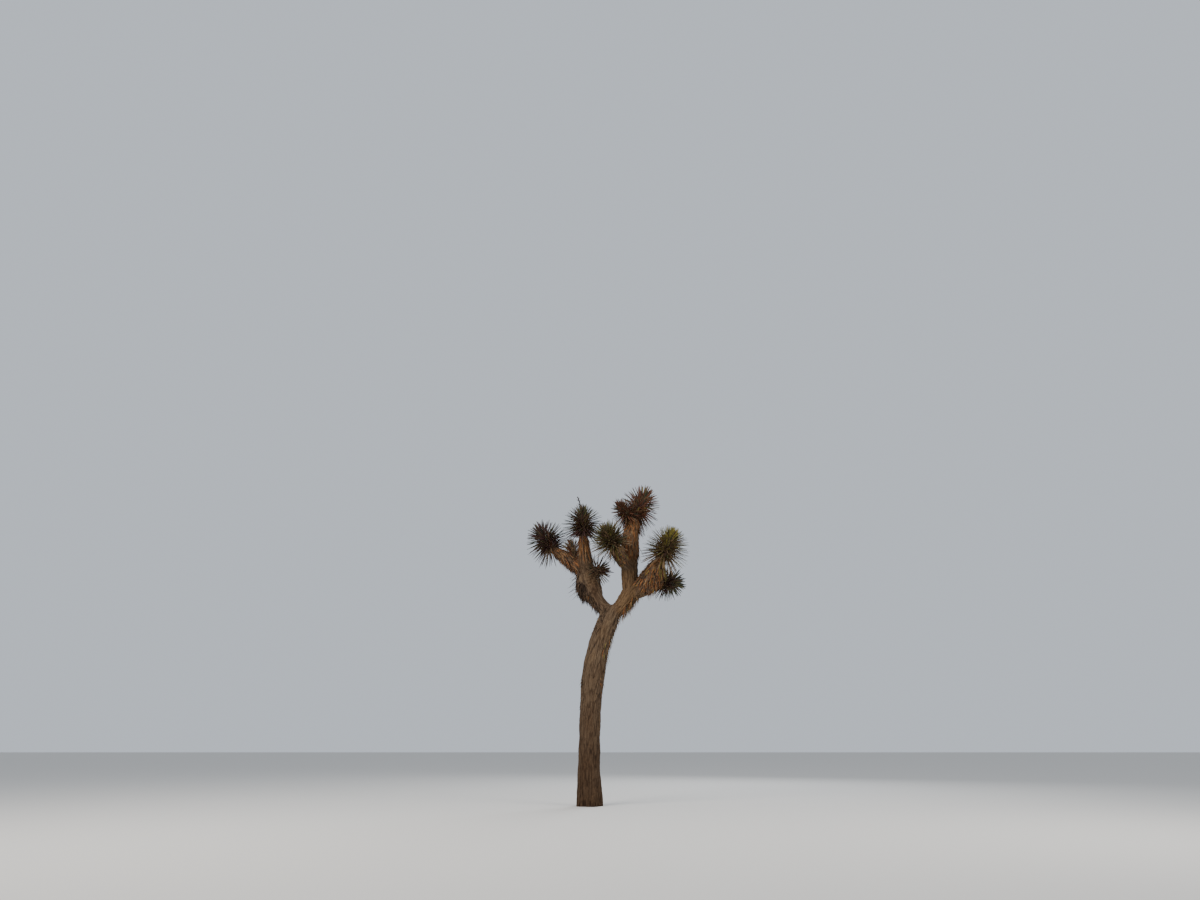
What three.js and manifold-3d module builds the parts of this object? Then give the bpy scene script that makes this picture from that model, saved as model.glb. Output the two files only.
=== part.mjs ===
// A young Joshua tree: a leaning trunk with a root flare, a forked crown of thick boughs in skirts of
// dead leaves, and a head of stiff dagger leaves at the tip of every bough.
// Units are millimetres, +Z is up, and the tree is seen from the front along +Y.
// The origin is the middle of the flat cut under the trunk.

import * as THREE from 'three';
import { mergeVertices } from 'three/addons/utils/BufferGeometryUtils.js';
import Module from 'manifold-3d';

const wasm = await Module();
wasm.setup();

// Trunk
const FOOT_RADIUS = 162;
const FLARE_DEPTH = 30;
const FLARE_HEIGHT = 520;
const FLARE_LOBES = 5;
const TRUNK_RADIUS = 150;
const TRUNK_WAIST_RADIUS = 144;
const TRUNK_SWELL_RADIUS = 157;
const UPRIGHT_HEIGHT = 1410;
const LEAN_STARTS = new THREE.Vector3(-10, 10, 1960);
const FORK = new THREE.Vector3(352, 50, 2660);

// How far the rounded end of a limb closes in, as a share squared of its radius
const DOME_CLOSING = 0.82;

// Gap left between pieces that meet
const GAP = 0.4;

// Dagger leaves
const LEAF_WIDTH = 27;
const LEAF_THICKNESS = 9;
const LEAF_CLEARANCE = 6;
const GOLDEN_ANGLE = 137.508;
const LOWEST_LEAF_SPREAD = 136;
const HIGHEST_LEAF_SPREAD = 8;
const YOUNGEST_LEAF_SHARE = 0.68;

// Where along its stem a head's leaves centre, as a share of the stem
const HEAD_MIDDLE = 0.6;

// Dead leaves, pressed back along a bough
const DEAD_LEAF_WIDTH = 30;
const DEAD_LEAF_THICKNESS = 10;

const GREEN = { color: 0x4a5530, roughness: 0.55, metalness: 0 };
const BARK = { color: 0x4d3a2a, roughness: 0.92, metalness: 0 };
const SKIRTED = { color: 0x6e4a2a, roughness: 0.88, metalness: 0 };

const radians = THREE.MathUtils.degToRad;
const mix = THREE.MathUtils.lerp;
const smoothstep = THREE.MathUtils.smoothstep;

// The same number from 0 to 1 every time for the same leaf and purpose.
function chance(index, purpose) {
  const value = Math.sin(index * 12.9898 + purpose * 78.233) * 43758.5453;
  return value - Math.floor(value);
}

// A unit direction from a compass heading (0 is +X, 90 is +Y) and a lean from upright, in degrees.
function direction(heading, lean) {
  const across = Math.sin(radians(lean));
  return new THREE.Vector3(
    across * Math.cos(radians(heading)),
    across * Math.sin(radians(heading)),
    Math.cos(radians(lean)),
  );
}

// A smooth path from start that sets off along one direction and ends along another.
function growth(start, setsOff, ends, length) {
  const bend = start.clone().addScaledVector(setsOff, length / 2);
  const tip = bend.clone().addScaledVector(ends, length / 2);
  return new THREE.QuadraticBezierCurve3(start, bend, tip);
}

// A radius at any share of a limb, smoothed between the stops [share, radius].
function radiusFrom(stops) {
  return (share) => {
    const above = stops.findIndex(([at]) => at >= share);
    if (above <= 0) return stops[above === 0 ? 0 : stops.length - 1][1];
    const [from, low] = stops[above - 1];
    const [to, high] = stops[above];
    return mix(low, high, smoothstep(share, from, to));
  };
}

// Joins the shared corners of a geometry and makes it a solid.
function solidFrom(geometry) {
  const bare = geometry.index ? geometry.toNonIndexed() : geometry.clone();
  bare.deleteAttribute('normal');
  bare.deleteAttribute('uv');
  const merged = mergeVertices(bare, 1e-3);
  const corners = [];
  for (let i = 0; i < merged.index.count; i += 3) {
    const [a, b, c] = [0, 1, 2].map((k) => merged.index.getX(i + k));
    if (a !== b && b !== c && c !== a) corners.push(a, b, c);
  }
  return new wasm.Manifold(
    new wasm.Mesh({
      numProp: 3,
      vertProperties: merged.attributes.position.array,
      triVerts: new Uint32Array(corners),
    }),
  );
}

// The largest piece of a solid, so that no cut leaves a loose scrap.
function largestPiece(solid) {
  return solid.decompose().reduce((best, piece) => (piece.volume() > best.volume() ? piece : best));
}

function meshFrom(name, solid, finish) {
  const { vertProperties, triVerts } = solid.getMesh();
  const geometry = new THREE.BufferGeometry();
  geometry.setAttribute('position', new THREE.BufferAttribute(vertProperties, 3));
  geometry.setIndex(new THREE.BufferAttribute(triVerts, 1));
  geometry.computeVertexNormals();
  const mesh = new THREE.Mesh(geometry, new THREE.MeshStandardMaterial(finish));
  mesh.name = name;
  return mesh;
}

// How far a limb's surface stands from its axis, at a share of its length and toward a direction.
function reachOf({ radius, roots, thatch }, share, out) {
  let reach = radius(share);
  if (roots) {
    const fading = Math.max(0, 1 - share / roots.share) ** 2;
    const lobe = (1 + Math.cos(roots.lobes * Math.atan2(out.y, out.x))) / 2;
    reach += roots.depth * fading * lobe;
  }
  if (thatch) {
    const [from, to] = thatch.along;
    const begun = smoothstep(share, from, mix(from, to, 0.3));
    const ending = smoothstep(share, mix(from, to, 0.8), to);
    reach += thatch.depth * begun * (1 - ending) * Math.max(0, out.dot(direction(...thatch.toward)));
  }
  return reach;
}

// A round limb along its path. Its last stretch closes in a dome, and grown adds a skin all over it.
function limbSolid(limb, grown = 0) {
  const { path, sides, rings, dome } = limb;
  const geometry = new THREE.CylinderGeometry(1, 1, 1, sides, rings);
  const { tangents, normals, binormals } = path.computeFrenetFrames(rings, false);
  const position = geometry.attributes.position;
  const place = new THREE.Vector3();
  const out = new THREE.Vector3();
  for (let i = 0; i < position.count; i += 1) {
    const share = THREE.MathUtils.clamp(position.getY(i) + 0.5, 0, 1);
    const ring = Math.round(share * rings);
    out.set(0, 0, 0).addScaledVector(binormals[ring], position.getX(i));
    out.addScaledVector(normals[ring], position.getZ(i));
    const fromAxis = out.length();
    out.normalize();
    const intoDome = Math.max(0, (share - (1 - dome)) / dome);
    const closing = Math.sqrt(1 - DOME_CLOSING * intoDome * intoDome);
    const reach = fromAxis * (reachOf(limb, share, out) * closing + grown);
    place.copy(path.getPointAt(share)).addScaledVector(out, reach);
    if (ring === 0) place.addScaledVector(tangents[ring], -grown);
    if (ring === rings) place.addScaledVector(tangents[ring], grown);
    position.setXYZ(i, place.x, place.y, place.z);
  }
  return solidFrom(geometry);
}

// How close a point comes to a limb's own surface. Inside it the answer is negative.
function clearanceFromLimb(point, limb) {
  const steps = 24;
  limb.axis ??= Array.from({ length: steps + 1 }, (_, step) => limb.path.getPointAt(step / steps));
  return limb.axis.reduce((nearest, place, step) => {
    const out = point.clone().sub(place);
    const distance = out.length();
    return Math.min(nearest, distance - reachOf(limb, step / steps, out.normalize()));
  }, Infinity);
}

// Whether a blade from root to tip comes within a leaf's clearance of a limb.
function touches(root, tip, limb) {
  return [0.25, 0.45, 0.65, 0.85, 1].some((share) => {
    const room = LEAF_CLEARANCE + (LEAF_WIDTH / 2) * (1 - share);
    return clearanceFromLimb(root.clone().lerp(tip, share), limb) < room;
  });
}

// A dagger blade from root to tip: a three-sided spike, flat above and keeled underneath.
function bladeSolid(root, tip, underside, width, thickness) {
  const blade = new THREE.ConeGeometry(1, 1, 3);
  blade.computeBoundingBox();
  const size = blade.boundingBox.getSize(new THREE.Vector3());
  blade.translate(0, 0.5, 0);
  blade.scale(width / size.x, root.distanceTo(tip), thickness / size.z);
  const along = tip.clone().sub(root).normalize();
  const keel = underside.clone().addScaledVector(along, -underside.dot(along)).normalize();
  const turn = new THREE.Matrix4().makeBasis(along.clone().cross(keel), along, keel);
  blade.applyMatrix4(turn.setPosition(root));
  return solidFrom(blade);
}

// The trunk: upright at its foot, then leaning to the fork, with a lobed root flare.
function trunkLimb() {
  const flareShare = FLARE_HEIGHT / FORK.z;
  const upright = new THREE.Vector3(0, 0, UPRIGHT_HEIGHT);
  return {
    name: 'trunk',
    path: new THREE.CubicBezierCurve3(new THREE.Vector3(0, 0, 0), upright, LEAN_STARTS, FORK),
    radius: radiusFrom([
      [0, FOOT_RADIUS],
      [flareShare, TRUNK_RADIUS],
      [0.45, TRUNK_WAIST_RADIUS],
      [0.62, TRUNK_SWELL_RADIUS],
      [0.82, TRUNK_RADIUS],
      [1, TRUNK_WAIST_RADIUS],
    ]),
    roots: { share: flareShare, lobes: FLARE_LOBES, depth: FLARE_DEPTH },
    sides: 20,
    rings: 22,
    dome: 0.06,
    deadLeaves: [
      { along: [0.84, 0.97], toward: [200, 90], arc: 50, count: 5, length: 150, flare: 15 },
      { along: [0.74, 0.95], toward: [0, 90], arc: 70, count: 12, length: 150, flare: 17 },
    ],
  };
}

// A bough, from a place inside the limb that carries it.
function boughLimb(name, { from, setsOff, ends, length, radii, ...rest }) {
  return {
    name,
    path: growth(new THREE.Vector3(...from), direction(...setsOff), direction(...ends), length),
    radius: radiusFrom(radii),
    sides: 12,
    rings: 8,
    dome: 0.14,
    deadLeaves: [],
    ...rest,
  };
}

// The boughs. Each direction is [heading, lean]. Radii thicken where a skirt of dead leaves begins,
// and thatch is the bulk of dead leaves that hangs on a bough's outer side. deadLeaves are those that
// stand out singly: where along the limb, toward which side, how many, and how far from its surface.
const trunk = trunkLimb();

const leftBough = boughLimb('left_bough', {
  from: [255, 50, 2640],
  setsOff: [163, 48],
  ends: [156, 8],
  length: 720,
  radii: [[0, 98], [0.3, 98], [0.55, 144], [0.8, 168], [1, 150]],
  sides: 14,
  rings: 10,
  thatch: { along: [-0.2, 0.95], toward: [190, 110], depth: 34 },
  deadLeaves: [
    { along: [0.2, 0.9], toward: [185, 110], arc: 140, count: 20, length: 190, flare: 24 },
    { along: [0.6, 0.95], toward: [180, 90], arc: 80, count: 6, length: 160, flare: 62 },
  ],
});

const farLeftBough = boughLimb('far_left_bough', {
  from: [-15, 140, 3190],
  setsOff: [152, 50],
  ends: [155, 60],
  length: 775,
  radii: [[0, 104], [0.5, 92], [1, 74]],
  thatch: { along: [0.05, 0.85], toward: [200, 150], depth: 26 },
  deadLeaves: [
    { along: [0.4, 0.9], toward: [200, 150], arc: 180, count: 10, length: 180, flare: 17 },
  ],
});

const upperLeftBough = boughLimb('upper_left_bough', {
  from: [-45, 140, 3175],
  setsOff: [180, 6],
  ends: [-113, 17],
  length: 595,
  radii: [[0, 110], [0.45, 116], [0.7, 98], [1, 76]],
  deadLeaves: [
    { along: [0.5, 0.9], toward: [180, 90], arc: 340, count: 12, length: 190, flare: 16 },
  ],
});

const rightBough = boughLimb('right_bough', {
  from: [345, 50, 2575],
  setsOff: [-17, 48],
  ends: [-15, 32],
  length: 505,
  radii: [[0, 100], [0.3, 118], [1, 130]],
  sides: 14,
  dome: 0.3,
  deadLeaves: [
    { along: [0.3, 0.95], toward: [0, 150], arc: 110, count: 14, length: 170, flare: 18 },
  ],
});

const middleBough = boughLimb('middle_bough', {
  from: [605, -30, 2830],
  setsOff: [-170, 5],
  ends: [34, 12],
  length: 1215,
  radii: [[0, 112], [0.2, 120], [0.36, 118], [0.43, 138], [0.62, 148], [0.85, 126], [1, 92]],
  sides: 14,
  rings: 14,
  dome: 0.08,
  deadLeaves: [
    { along: [0.5, 0.92], toward: [0, 90], arc: 340, count: 18, length: 200, flare: 12 },
    { along: [0.8, 0.88], toward: [-10, 90], arc: 40, count: 4, length: 170, flare: 48 },
  ],
});

const innerBough = boughLimb('inner_bough', {
  from: [580, -60, 3240],
  setsOff: [-138, 50],
  ends: [-130, 51],
  length: 435,
  radii: [[0, 90], [0.6, 108], [1, 102]],
  rings: 6,
  deadLeaves: [
    { along: [0.45, 0.85], toward: [200, 150], arc: 200, count: 8, length: 160, flare: 18 },
  ],
});

const outerRightBough = boughLimb('outer_right_bough', {
  from: [635, -40, 2800],
  setsOff: [-27, 48],
  ends: [-33, 36],
  length: 735,
  radii: [[0, 60], [0.3, 132], [0.5, 148], [0.75, 136], [1, 84]],
  sides: 14,
  thatch: { along: [0.25, 0.9], toward: [-40, 130], depth: 26 },
  deadLeaves: [
    { along: [0.35, 0.9], toward: [-30, 150], arc: 280, count: 22, length: 190, flare: 26 },
  ],
});

const lowerRightBough = boughLimb('lower_right_bough', {
  from: [895, -120, 2990],
  setsOff: [41, 84],
  ends: [40, 67],
  length: 240,
  radii: [[0, 84], [1, 72]],
  sides: 10,
  rings: 4,
});

// Every limb with the limbs that it is cut clear of, the one that carries it first.
const limbs = [
  { limb: trunk, meets: [] },
  { limb: leftBough, meets: [trunk] },
  { limb: rightBough, meets: [trunk, leftBough] },
  { limb: upperLeftBough, meets: [leftBough] },
  { limb: farLeftBough, meets: [leftBough, upperLeftBough] },
  { limb: middleBough, meets: [rightBough, trunk] },
  { limb: outerRightBough, meets: [rightBough, middleBough, trunk] },
  { limb: innerBough, meets: [middleBough] },
  { limb: lowerRightBough, meets: [outerRightBough] },
];

// Whether a blade from root to tip comes within a leaf's clearance of the core of a head.
function touchesCore(root, tip, head) {
  const { foot, tip: bud } = stemOf(head);
  const stem = new THREE.Line3(foot, bud);
  const nearest = new THREE.Vector3();
  return [0, 0.25, 0.5, 0.75, 1].some((share) => {
    const place = root.clone().lerp(tip, share);
    stem.closestPointToPoint(place, true, nearest);
    return place.distanceTo(nearest) < head.core + LEAF_CLEARANCE + DEAD_LEAF_WIDTH / 2;
  });
}

// Spikes that lie back along a limb, their roots sunk in it and their tips standing off it.
function deadLeafSolids(limb, { along, toward, arc, count, length, flare }, group) {
  const outward = direction(...toward);
  const spikes = [];
  for (let i = 0; i < count; i += 1) {
    const index = (limbs.findIndex((entry) => entry.limb === limb) * 10 + group) * 100 + i;
    const share = mix(along[0], along[1], (i + 0.5) / count);
    const middle = limb.path.getPointAt(share);
    const back = limb.path.getTangentAt(share).negate();
    const facing = outward.clone().addScaledVector(back, -outward.dot(back)).normalize();
    const turn = radians(arc * (((i * GOLDEN_ANGLE) / 360) % 1) - arc / 2);
    const out = facing.applyAxisAngle(back, turn);
    const lift = radians(flare * (0.75 + 0.5 * chance(index, 1)));
    const root = middle.clone().addScaledVector(out, reachOf(limb, share, out) * 0.82);
    const reach = length * (0.8 + 0.4 * chance(index, 2));
    const heading = back.clone().multiplyScalar(Math.cos(lift)).addScaledVector(out, Math.sin(lift));
    const tip = root.clone().addScaledVector(heading, reach);
    if (limbs.some((other) => other.limb !== limb && touches(root, tip, other.limb))) continue;
    if (heads.some((head) => touchesCore(root, tip, head))) continue;
    spikes.push({ tip, solid: bladeSolid(root, tip, out, DEAD_LEAF_WIDTH, DEAD_LEAF_THICKNESS) });
  }
  return spikes;
}

// The heads of leaves. Each grows from its bough's tip, or from a place in a limb's side.
// sprouts is the share of its stem where its lowest leaves stand.
const heads = [
  {
    name: 'head_far_left',
    on: farLeftBough,
    at: 1,
    grows: [160, 37],
    stem: 395,
    sprouts: 0.1,
    leaf: 300,
    core: 92,
    leaves: 120,
  },
  {
    name: 'head_upper_left',
    on: upperLeftBough,
    at: 1,
    grows: [-103, 6],
    stem: 370,
    sprouts: 0.2,
    leaf: 292,
    core: 80,
    leaves: 116,
    stalk: { grows: [-153, 20], length: 310, sunk: 60, width: 28 },
  },
  {
    name: 'head_back_left',
    on: farLeftBough,
    at: 0.38,
    grows: [118, 27],
    stem: 400,
    sprouts: 0.35,
    leaf: 150,
    core: 62,
    leaves: 54,
  },
  {
    name: 'head_inner_left',
    on: leftBough,
    at: 0.95,
    grows: [-44, 87],
    stem: 345,
    sprouts: 0.5,
    leaf: 205,
    core: 80,
    leaves: 56,
  },
  {
    name: 'head_top_right',
    on: middleBough,
    at: 1,
    grows: [28, 29],
    stem: 485,
    sprouts: 0.12,
    leaf: 285,
    core: 112,
    leaves: 126,
  },
  {
    name: 'head_top_left',
    on: middleBough,
    at: 0.95,
    grows: [-146, 48],
    stem: 340,
    sprouts: 0.3,
    leaf: 205,
    core: 80,
    leaves: 60,
  },
  {
    name: 'head_middle',
    on: innerBough,
    at: 1,
    grows: [-121, 50],
    stem: 275,
    sprouts: 0.1,
    leaf: 265,
    core: 112,
    leaves: 112,
  },
  {
    name: 'head_right',
    on: outerRightBough,
    at: 1,
    grows: [-37, 29],
    stem: 360,
    sprouts: 0.1,
    leaf: 290,
    core: 104,
    leaves: 126,
  },
  {
    name: 'head_lower_right',
    on: lowerRightBough,
    at: 1,
    grows: [31, 88],
    stem: 275,
    sprouts: 0.1,
    leaf: 230,
    core: 82,
    leaves: 92,
  },
];

// The stem inside a head: where it starts, where it ends and which way it grows.
function stemOf({ on, at, grows, stem }) {
  const foot = on.path.getPointAt(at);
  const axis = direction(...grows);
  return { foot, axis, tip: foot.clone().addScaledVector(axis, stem) };
}

// The leaves of a head, from the lowest and widest to the ones round its bud.
function leavesOf(head, group) {
  const { foot, axis } = stemOf(head);
  const start = new THREE.Vector3(0, 0, 1).cross(axis).normalize();
  return Array.from({ length: head.leaves }, (_, i) => {
    const index = group * 1000 + i;
    const share = (i + 0.5) / head.leaves;
    const lowest = Math.cos(radians(LOWEST_LEAF_SPREAD));
    const highest = Math.cos(radians(HIGHEST_LEAF_SPREAD));
    const spread = Math.acos(mix(lowest, highest, share)) + radians(10 * (chance(index, 1) - 0.5));
    const turn = radians(i * GOLDEN_ANGLE + 14 * (chance(index, 2) - 0.5));
    const out = start.clone().applyAxisAngle(axis, turn);
    const root = foot.clone().addScaledVector(axis, head.stem * mix(head.sprouts, 0.84, share));
    root.addScaledVector(out, head.core * mix(0.6, 0.2, share));
    const heading = axis.clone().multiplyScalar(Math.cos(spread)).addScaledVector(out, Math.sin(spread));
    const youth = mix(1, YOUNGEST_LEAF_SHARE, share ** 3);
    const reach = head.leaf * youth * (0.88 + 0.24 * chance(index, 3));
    return { root, tip: root.clone().addScaledVector(heading, reach), underside: axis.clone().negate() };
  });
}

// A head keeps to its own side of the plane midway between its stem and each neighbour's.
function staysInside(leaf, head) {
  const own = stemOf(head);
  const middle = own.foot.clone().lerp(own.tip, HEAD_MIDDLE);
  return heads.every((other) => {
    if (other === head) return true;
    const theirs = stemOf(other);
    const toward = theirs.foot.clone().lerp(theirs.tip, HEAD_MIDDLE).sub(middle);
    const share = head.leaf / (head.leaf + other.leaf);
    const border = toward.length() * share - LEAF_CLEARANCE - LEAF_WIDTH / 2;
    return leaf.tip.clone().sub(middle).dot(toward.normalize()) < border;
  });
}

// A leaf is left out where it would touch a limb or the tip of a dead leaf.
function keepsClear({ root, tip }, deadTips) {
  if (limbs.some(({ limb }) => touches(root, tip, limb))) return false;
  const along = [0.3, 0.5, 0.7, 0.9, 1].map((share) => root.clone().lerp(tip, share));
  return deadTips.every((dead) => along.every((place) => place.distanceTo(dead) > 2 * LEAF_WIDTH));
}

// The bud and the packed leaf bases round a head's stem, turned round its axis. grown adds a skin.
function coreSolid(head, grown = 0) {
  const { foot, axis } = stemOf(head);
  const outline = [
    [0, -0.08],
    [0.78, -0.08],
    [0.98, 0.22],
    [1, 0.5],
    [0.82, 0.78],
    [0.45, 0.95],
    [0, 1],
  ].map(([out, along], step, all) => {
    const skin = step === 0 ? -grown : step === all.length - 1 ? grown : 0;
    return new THREE.Vector2(out && out * head.core + grown, along * head.stem + skin);
  });
  const core = new THREE.LatheGeometry(outline, 10);
  const upright = new THREE.Vector3(0, 1, 0);
  core.applyQuaternion(new THREE.Quaternion().setFromUnitVectors(upright, axis));
  core.translate(foot.x, foot.y, foot.z);
  return solidFrom(core);
}

// A dried flower stalk that stands out of a head's bud, its foot sunk in the bud.
function stalkSolid({ stalk, ...head }) {
  const { tip } = stemOf(head);
  const heading = direction(...stalk.grows);
  const root = tip.clone().addScaledVector(heading, -stalk.sunk);
  const end = root.clone().addScaledVector(heading, stalk.length);
  return bladeSolid(root, end, new THREE.Vector3(0, 1, 0), stalk.width, stalk.width);
}

const tree = new THREE.Group();
const grownLimbs = new Map(limbs.map(({ limb }) => [limb, limbSolid(limb, GAP)]));
const deadTips = [];

limbs.forEach(({ limb, meets }) => {
  const spikes = limb.deadLeaves.flatMap((skirt, group) => deadLeafSolids(limb, skirt, group));
  deadTips.push(...spikes.map(({ tip }) => tip));
  const whole = wasm.Manifold.union([limbSolid(limb), ...spikes.map(({ solid }) => solid)]);
  const cut = meets.reduce((rest, other) => rest.subtract(grownLimbs.get(other)), whole);
  tree.add(meshFrom(limb.name, largestPiece(cut), limb === trunk ? BARK : SKIRTED));
});

heads.forEach((head, group) => {
  const neighbours = heads.filter((other) => other !== head);
  const leaves = leavesOf(head, group)
    .filter((leaf) => staysInside(leaf, head) && keepsClear(leaf, deadTips))
    .filter(({ root, tip }) => !neighbours.some((other) => touchesCore(root, tip, other)));
  const blades = leaves.map(({ root, tip, underside }) =>
    bladeSolid(root, tip, underside, LEAF_WIDTH, LEAF_THICKNESS),
  );
  if (head.stalk) blades.push(stalkSolid(head));
  const whole = wasm.Manifold.union([coreSolid(head), ...blades]);
  const offLimbs = limbs.reduce((rest, { limb }) => rest.subtract(grownLimbs.get(limb)), whole);
  const earlier = heads.slice(0, group).map((other) => coreSolid(other, GAP));
  const clear = earlier.reduce((rest, core) => rest.subtract(core), offLimbs);
  tree.add(meshFrom(head.name, largestPiece(clear), GREEN));
});

export default tree;
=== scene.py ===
import math

import bmesh
import bpy
import numpy as np
from mathutils import Matrix, Vector, noise


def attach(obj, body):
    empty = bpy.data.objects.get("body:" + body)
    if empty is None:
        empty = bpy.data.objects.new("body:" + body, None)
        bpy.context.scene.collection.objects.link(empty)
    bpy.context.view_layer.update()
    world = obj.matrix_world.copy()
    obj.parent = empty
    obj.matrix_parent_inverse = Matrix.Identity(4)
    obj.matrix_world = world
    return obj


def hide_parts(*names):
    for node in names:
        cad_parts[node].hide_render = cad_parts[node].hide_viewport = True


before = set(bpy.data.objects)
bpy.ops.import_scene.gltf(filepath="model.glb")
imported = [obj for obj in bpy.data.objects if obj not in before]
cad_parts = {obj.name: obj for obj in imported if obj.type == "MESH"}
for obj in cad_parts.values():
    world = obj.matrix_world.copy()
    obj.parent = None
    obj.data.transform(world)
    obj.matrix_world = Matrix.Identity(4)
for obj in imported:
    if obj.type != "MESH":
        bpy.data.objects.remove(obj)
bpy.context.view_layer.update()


# The camera stands on open ground about twelve metres in front of the tree, a little to its right.
# It is held at waist height and tipped up twenty degrees, with a wide lens.

CAMERA_PLACE = (0.14885, -11.8208, 0.81353)
CAMERA_TIPPED_UP = 20.052
LENS = 24
SENSOR_WIDTH = 36


def in_scene(name, data):
    """A new object in the scene that shows this mesh, lamp or camera."""
    shown = bpy.data.objects.new(name, data)
    bpy.context.scene.collection.objects.link(shown)
    return shown


camera_data = bpy.data.cameras.new("camera")
camera_data.sensor_width = SENSOR_WIDTH
camera_data.lens = LENS
camera = in_scene("camera", camera_data)
camera.location = CAMERA_PLACE
camera.rotation_euler = (math.radians(90 + CAMERA_TIPPED_UP), 0, 0)
bpy.context.scene.camera = camera


# A plain pale studio: a wide flat floor, pale air all round, and large soft lamps.
# The key lamp stands high on the left in front, with a weaker one on the right and one behind.

FLOOR_HALF_WIDTH = 60
FLOOR_COLOUR = (0.62, 0.60, 0.57, 1)
FLOOR_ROUGHNESS = 0.95
AIR_COLOUR = (0.70, 0.76, 0.84, 1)
AIR_STRENGTH = 0.85

# Each lamp: its name, place, width, power in watts and colour.
LAMPS = [
    ("key_lamp", (-5.5, -6.5, 7.5), 5.0, 900, (1.0, 0.95, 0.88)),
    ("fill_lamp", (6.5, -5.0, 4.5), 4.5, 330, (1.0, 0.96, 0.90)),
    ("back_lamp", (3.5, 7.0, 6.5), 4.0, 420, (0.92, 0.96, 1.0)),
]
LAMPS_AIM_AT = Vector((0.2, 0, 2.6))


def as_mesh(form, name):
    """Turns a finished form into a mesh of this name."""
    mesh = bpy.data.meshes.new(name)
    form.to_mesh(mesh)
    form.free()
    return mesh


floor_form = bmesh.new()
bmesh.ops.create_grid(floor_form, x_segments=1, y_segments=1, size=FLOOR_HALF_WIDTH)
floor_mesh = as_mesh(floor_form, "floor")
floor_finish = bpy.data.materials.new("pale_floor")
floor_finish.use_nodes = True
floor_shader = floor_finish.node_tree.nodes["Principled BSDF"]
floor_shader.inputs["Base Color"].default_value = FLOOR_COLOUR
floor_shader.inputs["Roughness"].default_value = FLOOR_ROUGHNESS
floor_mesh.materials.append(floor_finish)
floor = in_scene("floor", floor_mesh)

air = bpy.data.worlds.new("studio_air")
air.use_nodes = True
air.node_tree.nodes["Background"].inputs["Color"].default_value = AIR_COLOUR
air.node_tree.nodes["Background"].inputs["Strength"].default_value = AIR_STRENGTH
bpy.context.scene.world = air

for name, place, size, power, colour in LAMPS:
    lamp_data = bpy.data.lights.new(name, "AREA")
    lamp_data.size = size
    lamp_data.energy = power
    lamp_data.color = colour
    lamp = in_scene(name, lamp_data)
    lamp.location = place
    lamp.rotation_euler = (LAMPS_AIM_AT - lamp.location).to_track_quat("-Z", "Y").to_euler()


# The trunk and its boughs are one living skin of corky bark, split lengthways into fibrous ridges.
# The trunk stands upright from a lobed root flare, then leans to the fork. Each bough is one limb
# that thickens where old leaves clothe it, and the bark runs on smoothly from one into the next.

UPRIGHT_HEIGHT = 1.410
LEAN_STARTS = (-0.010, 0.010, 1.960)
FORK = (0.352, 0.050, 2.660)
FLARE_HEIGHT = 0.520
FLARE_SHARE = FLARE_HEIGHT / FORK[2]
FLARE_DEPTH = 0.030
FLARE_LOBES = 5
DOME_CLOSING = 0.82
THATCH_FULL_FROM = 0.3
THATCH_FULL_TO = 0.8
PATH_STEPS = 200
MARKS_TO_SEARCH = 80
LEAST_DISTANCE = 1e-9
LIMB_SIDES = 56
LIMB_RINGS = 48
TRUNK_SUNK = 0.03
SKIN_GRAIN = 0.0066
SKIN_SMOOTHING = 40
SMOOTHED_EACH_TIME = 0.5
CROTCH = Vector((0.335, 0.05, 2.69))
CROTCH_ROUNDED = 0.26
CROTCH_ROUNDING = 260
FORK_CUT = (0, 0, 2.44)
CROTCH_CUT = (0.305, 0, 2.66)
CROTCH_CUT_FACES = (0.981, 0, 0.193)


def chance(index, purpose):
    """The same number from 0 to 1 every time for the same leaf and purpose."""
    value = np.sin(index * 12.9898 + purpose * 78.233) * 43758.5453
    return value - np.floor(value)


def mix(low, high, share):
    return low + (high - low) * share


def smoothstep(value, low, high):
    share = np.clip((value - low) / (high - low), 0, 1)
    return share * share * (3 - 2 * share)


def direction(heading, lean):
    """A unit direction from a compass heading (0 is +X, 90 is +Y) and a lean from upright."""
    heading, lean = math.radians(heading), math.radians(lean)
    across = math.sin(lean)
    return np.array((across * math.cos(heading), across * math.sin(heading), math.cos(lean)))


def unit(vectors):
    return vectors / np.linalg.norm(vectors, axis=-1, keepdims=True)


def new_limb(name, bends, radii, dome=0.14, roots=None, thatch=None, skirt=((0, 0), (1, 0))):
    """A limb along a smooth path drawn by its bends, with its length measured out in shares.

    radii and skirt are stops [share of the length, metres]: its radius with its dead leaves on, and
    how thick they are. thatch is the stretch where more of them stand off, the side and how far.
    """
    steps = np.linspace(0, 1, PATH_STEPS + 1)[:, None]
    rows = [np.array(bend, float) + 0 * steps for bend in bends]
    while len(rows) > 1:
        rows = [mix(a, b, steps) for a, b in zip(rows, rows[1:])]
    points = rows[0]
    travelled = np.concatenate(([0], np.cumsum(np.linalg.norm(np.diff(points, axis=0), axis=1))))
    return {
        "name": name,
        "points": points,
        "tangents": unit(np.gradient(points, axis=0)),
        "shares": travelled / travelled[-1],
        "length": travelled[-1],
        "radii": radii,
        "dome": dome,
        "roots": roots,
        "thatch": thatch,
        "skirt": skirt,
    }


def new_bough(name, start, sets_off, ends, length, radii, **shape):
    """A bough from a place inside the limb that carries it, setting off one way and ending another."""
    bend = np.array(start) + direction(*sets_off) * length / 2
    return new_limb(name, (start, bend, bend + direction(*ends) * length / 2), radii, **shape)


def on_path(limb, rows, share):
    """Points or tangents of a limb's path at these shares of its length."""
    return np.stack([np.interp(share, limb["shares"], limb[rows][:, k]) for k in range(3)], axis=-1)


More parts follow.
